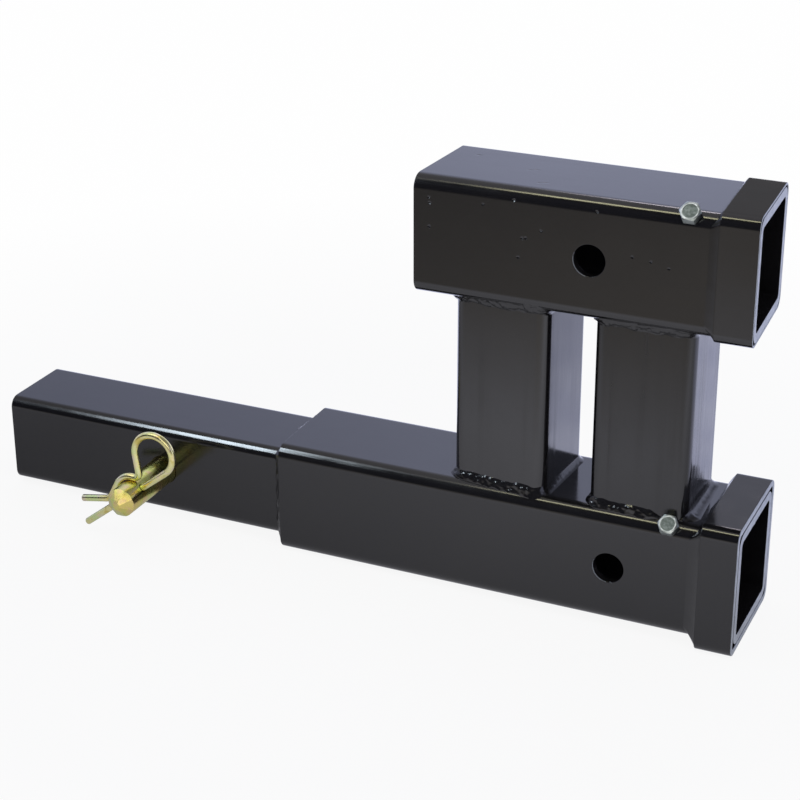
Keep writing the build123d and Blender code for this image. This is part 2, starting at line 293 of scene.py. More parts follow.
def black_paint(name, grain=ALONG_BAR, lumps=0.0, streaks=0.35, top_dip=0.0, marked=False,
                ior=1.6):
    """Gloss black paint with orange peel, drawing lines along the grain, pits and a little
    dust. Lumps and streaks say how strong those are. Top dip is the angle by which the
    shading of a collar's top is turned. Marked paint has the upper tube's pits and scuffs."""
    material, nodes, place = start_material(name)
    peel = nodes.noise(place, 700.0, 2.0)
    swell = nodes.noise(place, 38.0, 1.0)
    lines = nodes.noise(nodes.place(grain), 1.0, 3.0)
    normal = dressed_normal(nodes, top_dip) if top_dip else None
    normal = nodes.bump(swell, SWELL_DEPTH, 0.30, normal)
    normal = nodes.bump(lines, LINE_DEPTH, streaks, normal)
    normal = nodes.bump(peel, PEEL_DEPTH, 0.5 + lumps, normal)
    normal = nodes.bump(sparse_pits(nodes, place), PIT_DEPTH, 0.7, normal)
    if marked:
        normal = nodes.bump(upper_tube_marks(nodes), MARK_DEPTH, 1.0, normal)
    cloud = nodes.share(nodes.noise(place, 14.0, 3.0), 0.3, 0.7)
    dust = nodes.remap(nodes.noise(place, 420.0, 4.0, 0.7), 0.62, 0.80, 0.0, 0.05)
    colour = nodes.blend(dust, nodes.blend(cloud, *PAINT_TONES), DUST)
    low, high = (gloss + LUMP_DULLING * lumps for gloss in PAINT_GLOSS)
    mottle = nodes.remap(nodes.noise(place, 55.0, 4.0), 0.3, 0.7, low, high)
    smear = nodes.remap(lines, 0.45, 0.70, 0.0, STREAK_DULLING * streaks)
    nodes.coat(colour, nodes.math("ADD", mottle, smear), normal, IOR=ior)
    return material


def rim_steel_with_painted_highlight():
    """Sawn tube end under thin paint, with fine saw marks. Its pale grey is partly the steel and
    partly painted highlight, as on ends that catch the light.
    """
    material, nodes, place = start_material("sawn_rim_with_painted_highlight")
    marks = nodes.noise(nodes.place(SAW_MARKS), 1.0, 3.0, 0.6)
    wear = nodes.share(nodes.noise(place, 160.0, 4.0, 0.6), 0.35, 0.7)
    roughness = nodes.remap(marks, 0.3, 0.7, 0.32, 0.5)
    normal = nodes.bump(marks, SAW_DEPTH, 0.6)
    nodes.coat(nodes.blend(wear, *RIM_TONES_WITH_HIGHLIGHT), roughness, normal, Metallic=0.3)
    return material


def yellow_zinc(name, tint):
    """Yellow passivated zinc, which shifts between straw, pink and green."""
    material, nodes, place = start_material(name)
    drift = nodes.share(nodes.noise(place, 75.0, 3.0), 0.42, 0.58)
    pinkish = nodes.remap(nodes.noise(place, 210.0, 4.0, 0.6), 0.50, 0.66, 0.0, 0.75)
    stained = nodes.remap(nodes.noise(place, 130.0, 3.0, 0.6), 0.56, 0.68, 0.0, 0.8)
    bloomed = nodes.blend(pinkish, nodes.blend(drift, *STRAW_TONES), PINK_BLOOM)
    colour = nodes.tinted(nodes.blend(stained, bloomed, AMBER_STAIN), tint)
    roughness = nodes.remap(nodes.noise(place, 500.0, 4.0), 0.3, 0.7, 0.18, 0.30)
    normal = nodes.bump(nodes.noise(place, 900.0, 3.0), PLATING_DEPTH, 0.5)
    nodes.coat(colour, roughness, normal, Metallic=1.0)
    return material


def bolt_zinc(name, tones, patches, gloss, depth, relief, metallic):
    """Clear passivated zinc: grey with a mottled, faintly green bloom. Gloss is the roughness
    out of the bloom and in it, and relief is how strong the bump of a depth is."""
    material, nodes, place = start_material(name)
    bloom = nodes.share(nodes.noise(place, patches, 4.0, 0.6), 0.35, 0.65)
    roughness = nodes.remap(bloom, 0.0, 1.0, *gloss)
    normal = nodes.bump(nodes.noise(place, 1500.0, 3.0), depth, relief)
    nodes.coat(nodes.blend(bloom, *tones), roughness, normal, Metallic=metallic)
    return material


PAINT = black_paint("black_gloss_paint")
MARKED_PAINT = black_paint("black_gloss_paint_pitted", marked=True)
POST_PAINT = black_paint("black_gloss_paint_on_posts", ALONG_POST, streaks=1.3)
THICK_POST_PAINT = black_paint("black_gloss_paint_on_vehicle_post", ALONG_POST, streaks=1.0,
                               ior=1.7)
LOWER_COLLAR_PAINT = black_paint("black_gloss_paint_lower_collar", top_dip=math.radians(9.5))
UPPER_COLLAR_PAINT = black_paint("black_gloss_paint_upper_collar", top_dip=math.radians(25))
WELD_PAINT = black_paint("black_paint_on_weld", lumps=0.5)
RIM_WITH_PAINTED_HIGHLIGHT = rim_steel_with_painted_highlight()
# The pin's zinc is tinted yellower than the clip's, and darker as painted shade
PIN_ZINC = yellow_zinc("yellow_zinc_on_pin", (0.88, 0.80, 0.52))
CLIP_ZINC = yellow_zinc("yellow_zinc_on_clip", (1.0, 1.0, 1.0))
CLEAR_ZINC = bolt_zinc("clear_zinc_plate", CLEAR_ZINC_TONES, 380.0, (0.40, 0.26),
                       PLATING_DEPTH, 0.6, 1.0)
DISH_ZINC = bolt_zinc("zinc_in_dish", DISH_TONES, 620.0, (0.60, 0.50), DISH_DEPTH, 0.8, 0.15)


# Pieces remade from the solids with rounded edges


# The solids' seams and flat faces, in metres and radians, and creases in degrees
SEAM_GAP = 0.002 * MM
FLAT_WITHIN = math.radians(0.6)
SHARP_ABOVE = math.radians(35)
CREASE = 32

EDGE_ROUNDING = 0.45 * MM
ROUNDING_STEPS = 3
LENGTHWISE = 0.9
SHORT_EDGE = 5 * MM
CLEAR_OF_BOLT = 9 * MM

# Pale steel, partly painted highlight: how far in from the mouth the rim goes and how much it
# faces +X, and where on a pin hole's lip the paint is off and a highlight is painted
RIM_REACH = 4 * MM
RIM_FACING = 0.35
LIP_DEPTH = 0.8 * MM
LIP_TO_COLLAR = 8 * MM
LIP_SLOPE = (-0.97, -0.2)
LIP_FACING = 0.1

PAINTED = bpy.data.collections.new("painted_pieces")
PLATED = bpy.data.collections.new("plated_pieces")


def merged_copy(node):
    """The node's mesh with its seams closed and its flat faces made whole."""
    work = bmesh.new()
    work.from_mesh(frame["nodes"][node].data)
    bmesh.ops.remove_doubles(work, verts=work.verts, dist=SEAM_GAP)
    bmesh.ops.dissolve_limit(work, angle_limit=FLAT_WITHIN, verts=work.verts, edges=work.edges)
    return work


def any_edge(edge):
    """True, for parts whose sharp edges are all eased."""
    return True


def round_edges(work, amount, wanted=any_edge):
    """Rounds the sharp edges that the test wants."""
    edges = [edge for edge in work.edges
             if len(edge.link_faces) == 2 and edge.calc_face_angle(0) > SHARP_ABOVE
             and wanted(edge)]
    bmesh.ops.bevel(work, geom=edges, offset=amount, segments=ROUNDING_STEPS, profile=0.5,
                    affect="EDGES", clamp_overlap=True)


def smooth_by_angle(work, crease=CREASE):
    """Smooth shading, broken only at edges sharper than the crease."""
    for face in work.faces:
        face.smooth = True
    for edge in work.edges:
        whole = len(edge.link_faces) == 2
        edge.smooth = not whole or edge.calc_face_angle(0) < math.radians(crease)


def as_object(work, name, materials, body, replaced):
    """New piece in place of a node. The frame's pieces are painted and the others plated."""
    mesh = bpy.data.meshes.new(name)
    work.to_mesh(mesh)
    work.free()
    for material in materials:
        mesh.materials.append(material)
    piece = bpy.data.objects.new(name, mesh)
    bpy.context.scene.collection.objects.link(piece)
    lit_with = PAINTED if body == "frame" else PLATED
    lit_with.objects.link(piece)
    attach(piece, body)
    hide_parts(replaced)
    return piece


def painted_piece(work, node, materials):
    """Painted piece of the frame, with weighted normals, so that its broad faces shade flat
    beside their rounded edges."""
    piece = as_object(work, node + "_painted", materials, "frame", node)
    modifier = piece.modifiers.new("flat_faces", "WEIGHTED_NORMAL")
    modifier.keep_sharp = True
    modifier.weight = 100


def is_crosswise(edge):
    """True for edges that don't run along the tube for any distance."""
    direction = (edge.verts[0].co - edge.verts[1].co).normalized()
    return abs(direction.x) < LENGTHWISE or edge.calc_length() < SHORT_EDGE


def off_bolt(edge, bolt):
    """True for edges away from a bolt's hole."""
    middle = (edge.verts[0].co + edge.verts[1].co) / 2
    return (middle - middle_of(bolt)).length > CLEAR_OF_BOLT


def on_worn_lip_with_highlight(face):
    """True for the lower left of a pin hole's front lip, where the paint has worn off and the pale
    steel also stands as painted highlight, on the side that catches the light.
    """
    middle = face.calc_center_median()
    if middle.y > LIP_DEPTH - RECEIVER_HALF or middle.x > LOWER_COLLAR_LOW.x - LIP_TO_COLLAR:
        return False
    steep, shallow = LIP_SLOPE
    sloped = steep < face.normal.y < shallow
    return sloped and face.normal.x > LIP_FACING and face.normal.z > -LIP_FACING


def tube_piece(node, paint, bolt=None):
    """A tube or collar with its sawn ends and holes eased, and pale sawn rims at its mouth,
    partly painted highlight. The tubes have a bolt, and pin holes with worn lips that also
    carry painted highlight."""
    def eased(edge):
        return is_crosswise(edge) and (bolt is None or off_bolt(edge, bolt))

    work = merged_copy(node)
    round_edges(work, EDGE_ROUNDING, eased)
    smooth_by_angle(work)
    mouth = max(vertex.co.x for vertex in work.verts)
    for face in work.faces:
        at_mouth = face.calc_center_median().x > mouth - RIM_REACH
        on_rim = at_mouth and face.normal.x > RIM_FACING
        # Rims and the worn lips get the pale steel, which is partly painted highlight
        face.material_index = int(on_rim or (bolt is not None and on_worn_lip_with_highlight(face)))
    painted_piece(work, node, (paint, RIM_WITH_PAINTED_HIGHLIGHT))


def bar_piece(node, paint, eased=False):
    """Shank or post, painted all over. The shank's ends and holes are eased."""
    work = merged_copy(node)
    if eased:
        round_edges(work, EDGE_ROUNDING, is_crosswise)
    smooth_by_angle(work)
    painted_piece(work, node, (paint,))


tube_piece("lower_receiver_tube", PAINT, "lower_corner_bolt")
tube_piece("upper_receiver_tube", MARKED_PAINT, "upper_corner_bolt")
tube_piece("lower_collar", LOWER_COLLAR_PAINT)
tube_piece("upper_collar", UPPER_COLLAR_PAINT)
bar_piece("shank", PAINT, eased=True)
bar_piece("post_vehicle_side", THICK_POST_PAINT)
bar_piece("post_mouth_side", POST_PAINT)


# Weld beads


WELD_STEP = 0.55 * MM
WELD_SIDES = 11
WELD_ROOT_DEPTH = 0.5 * MM
WELD_LUMP = 2.6 * MM
WELD_CREASE = 50
SEED_STEPS = (7.31, 3.17, 5.53)

# Shares of the way round a square's outline that one flat and one corner take
FLAT_SHARE = 0.2
CORNER_SHARE = 0.05

# Beads of the posts: the leg over the tube and the rise up the post, each with its spread,
# for the usual bead and for the narrow and tall front on the lower tube
POST_LEG, POST_LEG_SPREAD = 2.7 * MM, 0.9 * MM
POST_RISE, POST_RISE_SPREAD = 3.1 * MM, 1.1 * MM
FRONT_LEG, FRONT_LEG_SPREAD = 1.9 * MM, 0.25 * MM
FRONT_RISE, FRONT_RISE_SPREAD = 4.4 * MM, 0.7 * MM
LEAST_LEG, LEAST_RISE = 0.5 * MM, 0.6 * MM

# The leg of the wide side towards the mouth, and what that side adds to the rise
MOUTH_LEG, MOUTH_RISE = 6.2 * MM, 1.4 * MM
MOUTH_FULLNESS = 0.35

# Heights of the lumps on a smooth bead, and what a rough one, the front and the mouth's side add
SMOOTH_LUMPS, ROUGH_LUMPS = 0.07 * MM, 0.58 * MM
FRONT_LUMPS, MOUTH_LUMPS = 0.2 * MM, 0.45 * MM

# Where a bolt beside the bead thins it out, and the share that is left of it
BOLT_NEAR, BOLT_FAR = 5 * MM, 12 * MM
LEAST_BESIDE_BOLT = 0.12

# Beads of the laps: how much of the outer tube's end they cover, and what dressing adds
LAP_COVER, LAP_DRESSED_COVER, LAP_MOST_COVER = 0.90, 0.08, 0.98
LAP_SMOOTHING = 0.85


def ramp(value, low, high):
    """How far a value is from low to high, from 0 to 1."""
    return min(max((value - low) / (high - low), 0.0), 1.0)


def outline(half, corner, share):
    """Point and outward direction on a rounded square, at a share of the way round.
    The four flats and four corners get equal shares whatever the size, so that the
    outlines of two nested squares match up."""
    quarter, rest = divmod(share % 1.0 / (FLAT_SHARE + CORNER_SHARE), 1.0)
    straight = FLAT_SHARE / (FLAT_SHARE + CORNER_SHARE)
    reach = half - corner
    if rest < straight:
        point = Vector((half, reach * (2 * rest / straight - 1)))
        outward = Vector((1, 0))
    else:
        angle = math.pi / 2 * (rest - straight) / (1 - straight)
        outward = Vector((math.cos(angle), math.sin(angle)))
        point = Vector((reach, reach)) + corner * outward
    turn = Matrix.Rotation(quarter * math.pi / 2, 2)
    return turn @ point, turn @ outward


def lumpy(seed, place, size):
    """Noise from about -1 to 1 at a place, for lumps of a size."""
    shifted = place / size + Vector([seed * step for step in SEED_STEPS])
    return noise.noise(shifted) + 0.5 * noise.noise(shifted * 2.3)


def bead_section(bar_toe, base_toe, root, fullness):
    """Points across a bead from the bar's face to the base's face."""
    middle = (bar_toe + base_toe) / 2
    control = root + (middle - root) * fullness
    points = []
    for step in range(WELD_SIDES):
        t = step / (WELD_SIDES - 1)
        points.append(bar_toe * (1 - t) ** 2 + control * 2 * t * (1 - t) + base_toe * t**2)
    return points


def weld_piece(node, sections, seed):
    """Closed ring through the sections, roughened like a hand-laid bead. Each section is
    its root, its points and the height of its lumps."""
    work = bmesh.new()
    rings = []
    for root, points, lumps in sections:
        out = ((points[0] + points[-1]) / 2 - root).normalized()
        ring = []
        for index, point in enumerate(points):
            t = index / (len(points) - 1)
            height = lumps * math.sin(math.pi * t) * (0.4 + lumpy(seed, point, WELD_LUMP))
            ring.append(work.verts.new(point + out * height))
        inward = -out * WELD_ROOT_DEPTH
        for point in (points[-1], root, points[0]):
            ring.append(work.verts.new(point + inward))
        rings.append(ring)
    for index, ring in enumerate(rings):
        following = rings[(index + 1) % len(rings)]
        for side in range(len(ring)):
            other = (side + 1) % len(ring)
            work.faces.new((ring[side], ring[other], following[other], following[side]))
    bmesh.ops.recalc_face_normals(work, faces=work.faces)
    smooth_by_angle(work, WELD_CREASE)
    as_object(work, node + "_bead", (WELD_PAINT,), "frame", node)


def tube_drop(across):
    """How far a receiver tube has fallen away from its flat, at a distance from its middle."""
    over = min(max(abs(across) - (RECEIVER_HALF - RECEIVER_CORNER), 0.0), RECEIVER_CORNER)
    return RECEIVER_CORNER - math.sqrt(RECEIVER_CORNER * RECEIVER_CORNER - over * over)


def post_bead(seed, spot, outward, forward, on_lower_tube, widened):
    """Leg along the tube, rise up the post, fullness and lumps of a post's bead at a spot.
    Forward is the share of the way to the camera's side."""
    smooth = ramp(outward.x, 0.2, 0.8)
    rough = 1 - smooth
    leg = POST_LEG + POST_LEG_SPREAD * rough * lumpy(seed, spot, 8 * MM)
    rise = POST_RISE + POST_RISE_SPREAD * rough * lumpy(seed + 1, spot, 8 * MM)
    fullness = 0.9 + 0.5 * rough * lumpy(seed + 2, spot, 6 * MM) - 0.3 * smooth
    lumps = SMOOTH_LUMPS + ROUGH_LUMPS * rough
    if on_lower_tube:
        facing = ramp(-outward.y, 0.3, 0.7)
        leg += facing * (FRONT_LEG + FRONT_LEG_SPREAD * lumpy(seed, spot, 8 * MM) - leg)
        rise += facing * (FRONT_RISE + FRONT_RISE_SPREAD * lumpy(seed + 1, spot, 7 * MM) - rise)
        lumps += facing * FRONT_LUMPS
    if widened and outward.x > 0.3:
        leg += (MOUTH_LEG - POST_LEG) * outward.x * (0.35 + 0.65 * forward)
        rise += MOUTH_RISE * outward.x * forward
        fullness = MOUTH_FULLNESS + 0.1 * lumpy(seed + 2, spot, 12 * MM)
        lumps += MOUTH_LUMPS * forward**10
    return leg, rise, fullness, lumps


def post_weld(node, post, flat, away, seed, turn=0.0, bolt=None):
    """Bead round the end of a post, from the post's face down to the tube's surface, which
    is flat at a height. Away is up or down. On the lower tube its front is tall and narrow,
    and stays off the tube's rounded corner. Beside a bolt it thins out, and its side towards
    the mouth is wider and smoother."""
    centre = middle_of(post).x
    turned = Matrix.Rotation(turn, 2)
    count = round(8 * BAR_HALF / WELD_STEP)
    sections = []
    for index in range(count):
        point, outward = outline(BAR_HALF, BAR_CORNER, index / count)
        point, outward = turned @ point, turned @ outward
        spot = Vector((centre + point.x, point.y, flat))
        forward = 0.5 - 0.5 * point.y / BAR_HALF
        leg, rise, fullness, lumps = post_bead(seed, spot, outward, forward, away > 0,
                                               bolt is not None)
        if bolt is not None:
            near = ramp((spot - bolt).length, BOLT_NEAR, BOLT_FAR)
            leg *= max(near, LEAST_BESIDE_BOLT)
            rise *= max(near, LEAST_BESIDE_BOLT)
        toe = point + outward * max(leg, LEAST_LEG)
        root = Vector((centre + point.x, point.y, flat - away * tube_drop(point.y)))
        bar_toe = root + Vector((0, 0, away * max(rise, LEAST_RISE)))
        base_toe = Vector((centre + toe.x, toe.y, flat - away * tube_drop(toe.y)))
        sections.append((root, bead_section(bar_toe, base_toe, root, fullness), lumps))
    weld_piece(node, sections, seed)


def lap_weld(node, inner, outer, end, leg, z, seed, lumps, lean=0.0, blended=0.0):
    """Bead round a bar where a larger tube or a collar ends on it. Inner and outer are
    the half size and corner radius of each. Lean is the end's slope along Y. Blended is
    how much longer the bead is on the front and back, where it is dressed smooth."""
    count = round(8 * inner[0] / WELD_STEP)
    sections = []
    for index in range(count):
        small, outward = outline(*inner, index / count)
        large, _ = outline(*outer, index / count)
        root = Vector((end - lean * small.x, small.x, small.y + z))
        spot = Vector((end - lean * large.x, large.x, large.y + z))
        dressed = abs(outward.x) ** 6 if blended else 0.0
        rough = 1 - LAP_SMOOTHING * dressed
        run = leg * (1 + 0.28 * rough * lumpy(seed, root, 6 * MM)) + blended * dressed
        cover = LAP_COVER + LAP_DRESSED_COVER * dressed
        cover += 0.08 * rough * lumpy(seed + 1, root, 5 * MM)
        fullness = 1.0 - 0.15 * dressed + 0.35 * rough * lumpy(seed + 2, root, 7 * MM)
        bar_toe = root - Vector((run, 0, 0))
        base_toe = root + (spot - root) * min(cover, LAP_MOST_COVER)
        sections.append((root, bead_section(bar_toe, base_toe, root, fullness), lumps * rough))
    weld_piece(node, sections, seed)


LOWER_FLAT = LOWER_HIGH.z
UPPER_FLAT = UPPER_LOW.z
LOWER_BOLT = middle_of("lower_corner_bolt")
BAR = (BAR_HALF, BAR_CORNER)
RECEIVER = (RECEIVER_HALF, RECEIVER_CORNER)
LOWER_COLLAR = ((LOWER_COLLAR_HIGH.z - LOWER_COLLAR_LOW.z) / 2, COLLAR_CORNER)
UPPER_COLLAR = ((UPPER_COLLAR_HIGH.z - UPPER_COLLAR_LOW.z) / 2, COLLAR_CORNER)
UPPER_COLLAR_END = UPPER_COLLAR_LOW.x + UPPER_LEAN * UPPER_COLLAR[0]

post_weld("vehicle_post_bottom_weld", "post_vehicle_side", LOWER_FLAT, 1, seed=1,
          turn=VEHICLE_POST_TURN)
post_weld("vehicle_post_top_weld", "post_vehicle_side", UPPER_FLAT, -1, seed=5,
          turn=VEHICLE_POST_TURN)
post_weld("mouth_post_bottom_weld", "post_mouth_side", LOWER_FLAT, 1, seed=9, bolt=LOWER_BOLT)
post_weld("mouth_post_top_weld", "post_mouth_side", UPPER_FLAT, -1, seed=13)
lap_weld("shank_weld", BAR, RECEIVER, LOWER_LOW.x, 4.4 * MM, LOWER_Z, seed=17, lumps=0.8 * MM)
lap_weld("lower_collar_weld", RECEIVER, LOWER_COLLAR, LOWER_COLLAR_LOW.x, 2.8 * MM, LOWER_Z,
         seed=21, lumps=0.15 * MM, blended=4.0 * MM)
lap_weld("upper_collar_weld", RECEIVER, UPPER_COLLAR, UPPER_COLLAR_END, 1.3 * MM, UPPER_Z,
         seed=25, lumps=0.08 * MM, lean=UPPER_LEAN, blended=3.5 * MM)


# Pin, clip and bolts


PIN_ROUNDING = 0.2 * MM
CLIP_ROUNDING = 0.5 * MM
HEAD_ROUNDING = 0.18 * MM
PIN_CREASE = 20
CROSS_HOLE_REACH = 3.2 * MM
THREAD_PITCH = 1.0 * MM
THREAD_DEPTH = 0.5 * MM
THREAD_SIDES = 36
THREAD_RINGS_A_TURN = 10
THREAD_INTO_HEAD = 0.6 * MM
HEAD_TOP_BAND = 0.25 * MM
DISH_RADIUS = 3.4 * MM

# How near a bolt's vertex has to be to count as on its tip or shaft, and how far off its shaft
# to count as on its head
AT_TIP = 0.02 * MM
AT_SHAFT = 0.05 * MM
OFF_SHAFT = 0.2 * MM


def off_cross_hole(edge):
    """True for the pin's edges away from the hole that the clip goes through."""
    return abs(edge.verts[0].co.y - middle_of("pin_clip").y) > CROSS_HOLE_REACH


def yellow_piece(node, zinc, amount, wanted=any_edge, crease=CREASE):
    """A yellow zinc plated part with its edges eased, and creases sharper than an angle kept."""
    work = merged_copy(node)
    round_edges(work, amount, wanted)
    smooth_by_angle(work, crease)
    as_object(work, node + "_plated", (zinc,), node, node)


def along_axis(point, tip):
    """Distance from a bolt's tip along its axis, and the offset from that axis."""
    reach = (point - tip).dot(BOLT_AXIS)
    return reach, point - tip - reach * BOLT_AXIS


def bolt_tip(work):
    """Middle of the flat end of a bolt's shaft."""
    nearest = min(vertex.co.dot(BOLT_AXIS) for vertex in work.verts)
    ring = [vertex.co for vertex in work.verts if vertex.co.dot(BOLT_AXIS) < nearest + AT_TIP]
    return sum(ring, Vector()) / len(ring)


def cut_away_shaft(work, tip):
    """Removes the plain shaft, and returns where the head's underside lies from the tip."""
    places = [(vertex, *along_axis(vertex.co, tip)) for vertex in work.verts]
    underside = min(reach for _, reach, offset in places
                    if offset.length > BOLT_RADIUS + OFF_SHAFT)
    shaft = [vertex for vertex, reach, offset in places
             if reach < underside + AT_SHAFT and offset.length < BOLT_RADIUS + AT_SHAFT]
    bmesh.ops.delete(work, geom=shaft, context="VERTS")
    return underside


def add_thread(work, tip, underside):
    """Threaded shaft from the tip up into the head."""
    sideways = Vector((1, 0, 0))
    upright = BOLT_AXIS.cross(sideways)
    top = underside + THREAD_INTO_HEAD
    rings = []
    count = round(top / THREAD_PITCH * THREAD_RINGS_A_TURN)
    for step in range(count + 1):
        reach = top * step / count
        taper = 0.8 + 0.2 * min(1.0, 0.35 + reach / THREAD_PITCH)
        ring = []
        for side in range(THREAD_SIDES):
            share = side / THREAD_SIDES
            phase = (reach / THREAD_PITCH - share) % 1.0
            radius = (BOLT_RADIUS - THREAD_DEPTH * (1 - abs(2 * phase - 1))) * taper
            angle = 2 * math.pi * share
            spoke = radius * (math.cos(angle) * sideways + math.sin(angle) * upright)
            ring.append(work.verts.new(tip + reach * BOLT_AXIS + spoke))
        rings.append(ring)
    for ring, following in zip(rings, rings[1:]):
        for side in range(THREAD_SIDES):
            other = (side + 1) % THREAD_SIDES
            work.faces.new((ring[side], ring[other], following[other], following[side]))
    work.faces.new(rings[0])
    work.faces.new(rings[-1])


def in_dish(face, tip, top):
    """True for the faces of the dish in a bolt's head."""
    reach, offset = along_axis(face.calc_center_median(), tip)
    sunk = reach < top - HEAD_TOP_BAND and offset.length < DISH_RADIUS
    return sunk and face.normal.dot(BOLT_AXIS) > 0.9


def sort_by_place(work):
    """Puts vertices and faces in order of place, since the cut shaft leaves them in an order
    that changes from run to run."""
    corners = {vertex: tuple(vertex.co) for vertex in work.verts}
    middles = {face: tuple(face.calc_center_median()) for face in work.faces}
    for elements, places in ((work.verts, corners), (work.faces, middles)):
        ranks = {element: rank for rank, element in enumerate(sorted(places, key=places.get))}
        elements.sort(key=ranks.get)


def bolt_piece(node):
    """A corner bolt with a bright rim, a darker dish in its head and a cut thread."""
    work = merged_copy(node)
    tip = bolt_tip(work)
    top = max(along_axis(vertex.co, tip)[0] for vertex in work.verts)
    for face in work.faces:
        face.material_index = int(in_dish(face, tip, top))
    underside = cut_away_shaft(work, tip)
    round_edges(work, HEAD_ROUNDING)
    add_thread(work, tip, underside)
    sort_by_place(work)
    bmesh.ops.recalc_face_normals(work, faces=work.faces)
    smooth_by_angle(work)
    as_object(work, node + "_plated", (CLEAR_ZINC, DISH_ZINC), node, node)


yellow_piece("hitch_pin", PIN_ZINC, PIN_ROUNDING, off_cross_hole, PIN_CREASE)
yellow_piece("pin_clip", CLIP_ZINC, CLIP_ROUNDING)
bolt_piece("lower_corner_bolt")
bolt_piece("upper_corner_bolt")


# Floor, light and camera


FLOOR_HALF = 4.0
FLOOR_WHITE = grey(0.9)
SEEN_WHITE = grey(1.0)

# The floor as the camera sees it is mostly its own white: least near the part's middle, so
# that the shadow shows, and nearly all further off
SHADOW_MIDDLE = (-0.18, 0.0, 0.0)
SHADOW_NEAR, SHADOW_FAR = 0.25, 0.60
GLOW_NEAR, GLOW_FAR = 0.91, 0.99
GLOW_IN_MIRROR = 0.88

# The floor as the part mirrors it, in painted light and shade: in front, further out in front, and
# behind
MIRROR_FRONT = (1.0, 1.0, 1.08, 1)
MIRROR_OUT = (0.58, 0.53, 0.47, 1)
MIRROR_BACK = ((0.84, 0.88, 1.22, 1), (1.14, 1.18, 1.50, 1))
BACK_SLANT = -0.3
BACK_STEP = (-0.034, -0.025)
BACK_LEVELS = (1.22, 0.97)

WALLS = (0.80, 0.85, 1.14)
CEILING = (0.60, 0.59, 0.62, 1)

WARM_WHITE = (1.0, 0.98, 0.95)
WARMER_WHITE = (1.0, 0.98, 0.93)
BLUE = (0.78, 0.90, 1.0)
YELLOW = (1.0, 0.96, 0.60)
PINK = (1.0, 0.92, 1.0)

# Softboxes that light the part but don't show in it: name, place, target, size, radiance
SOFTBOXES = (
    ("top_box", (0.3, -0.5, 1.6), (0.15, 0, 0.05), (1.2, 0.9), 1.6),
    ("right_box", (1.3, -0.5, 0.5), (0.3, 0, 0.1), (0.6, 0.6), 1.6),
)

# Strips along X that show only in reflections: name, start, end, lean forward from overhead
# in degrees, height, radiance, colour, and the pieces that they show in
STRIP_REACH = 1.35
STRIPS = (
    ("blue_strip_1", -0.86, -0.80, 28.7, 0.70, 2.0, BLUE, PAINTED),
    ("blue_strip_2", -0.80, -0.74, 28.7, 0.70, 7.0, BLUE, PAINTED),
    ("blue_strip_3", -0.74, -0.56, 28.7, 0.80, 20.0, BLUE, PAINTED),
    ("blue_strip_4", -0.56, -0.49, 22, 0.50, 4.0, BLUE, PAINTED),
    ("blue_strip_5", -0.49, -0.40, 22, 0.40, 1.5, BLUE, PAINTED),
    ("yellow_strip_1", -0.27, -0.21, 18, 0.18, 2.6, YELLOW, PAINTED),
    ("yellow_strip_2", -0.21, 0.10, 18, 0.18, 7.5, YELLOW, PAINTED),
    ("pink_strip_1", -0.18, -0.10, -33, 0.12, 3.0, PINK, PAINTED),
    ("pink_strip_2", -0.10, 0.10, -33, 0.09, 10.0, PINK, PAINTED),
    ("plating_card", -1.10, 0.20, 30, 0.90, 1.15, WARM_WHITE, PLATED),
    ("low_plating_card", 0.00, 1.10, 64, 0.80, 1.2, WARMER_WHITE, PLATED),
)


def painted_floor_reflection(nodes, place):
    """Colour of the floor in reflections, in painted light and shade: cool and bright in front of
    the part, a painted shadow right beside it, darker to the left, warm and dim further out, and
    a patchy blue behind as painted light, which is brighter on the left, where the post on the
    vehicle's side mirrors it."""
    x, y, _ = nodes.split(place)
    # Painted shadow of the part on the floor, right in front of it
    near = nodes.remap(y, -0.20, -0.045, 1.0, 0.62)
    far = nodes.remap(y, -1.3, -0.55, 0.08, 1.0)
    left = nodes.remap(x, -0.42, -0.14, 0.62, 1.0)
    level = nodes.math("MULTIPLY", nodes.math("MULTIPLY", near, far), left)
    out = nodes.remap(y, -0.42, -0.22, 1.0, 0.0)
    front = nodes.scaled(nodes.blend(out, MIRROR_FRONT, MIRROR_OUT), level)
    # Painted light on the floor behind the part, for the posts' sides to mirror
    patches = nodes.share(nodes.noise(place, 11.0, 3.0, 0.6), 0.38, 0.62)
    across = nodes.math("MULTIPLY_ADD", y, BACK_SLANT, x)
    lift = nodes.remap(across, *BACK_STEP, *BACK_LEVELS)
    back = nodes.scaled(nodes.blend(patches, *MIRROR_BACK), lift)
    return nodes.blend(nodes.share(y, 0.0, 0.10), front, back)


def floor_material():
    """White floor that still takes the part's shadow. In reflections it glows instead with painted
    light and shade.
    """
    material, nodes, place = start_material("white_floor")
    path = nodes.add("ShaderNodeLightPath").outputs
    mirrored = nodes.math("MAXIMUM", path["Is Glossy Ray"], path["Is Transmission Ray"])
    # In reflections the floor shows painted light and shade in place of its white
    colour = nodes.blend(mirrored, SEEN_WHITE, painted_floor_reflection(nodes, place))
    away = nodes.distance(place, SHADOW_MIDDLE)
    seen = nodes.remap(away, SHADOW_NEAR, SHADOW_FAR, GLOW_NEAR, GLOW_FAR)
    in_camera = nodes.math("MULTIPLY", seen, path["Is Camera Ray"])
    in_mirror = nodes.math("MULTIPLY", mirrored, GLOW_IN_MIRROR)
    matt = nodes.add("ShaderNodeBsdfDiffuse", {"Color": FLOOR_WHITE}).outputs[0]
    glow = nodes.add("ShaderNodeEmission", {"Color": colour, "Strength": 1.0}).outputs[0]
    inputs = {0: nodes.math("MAXIMUM", in_camera, in_mirror), 1: matt, 2: glow}
    nodes.surface(nodes.add("ShaderNodeMixShader", inputs).outputs[0])
    return material


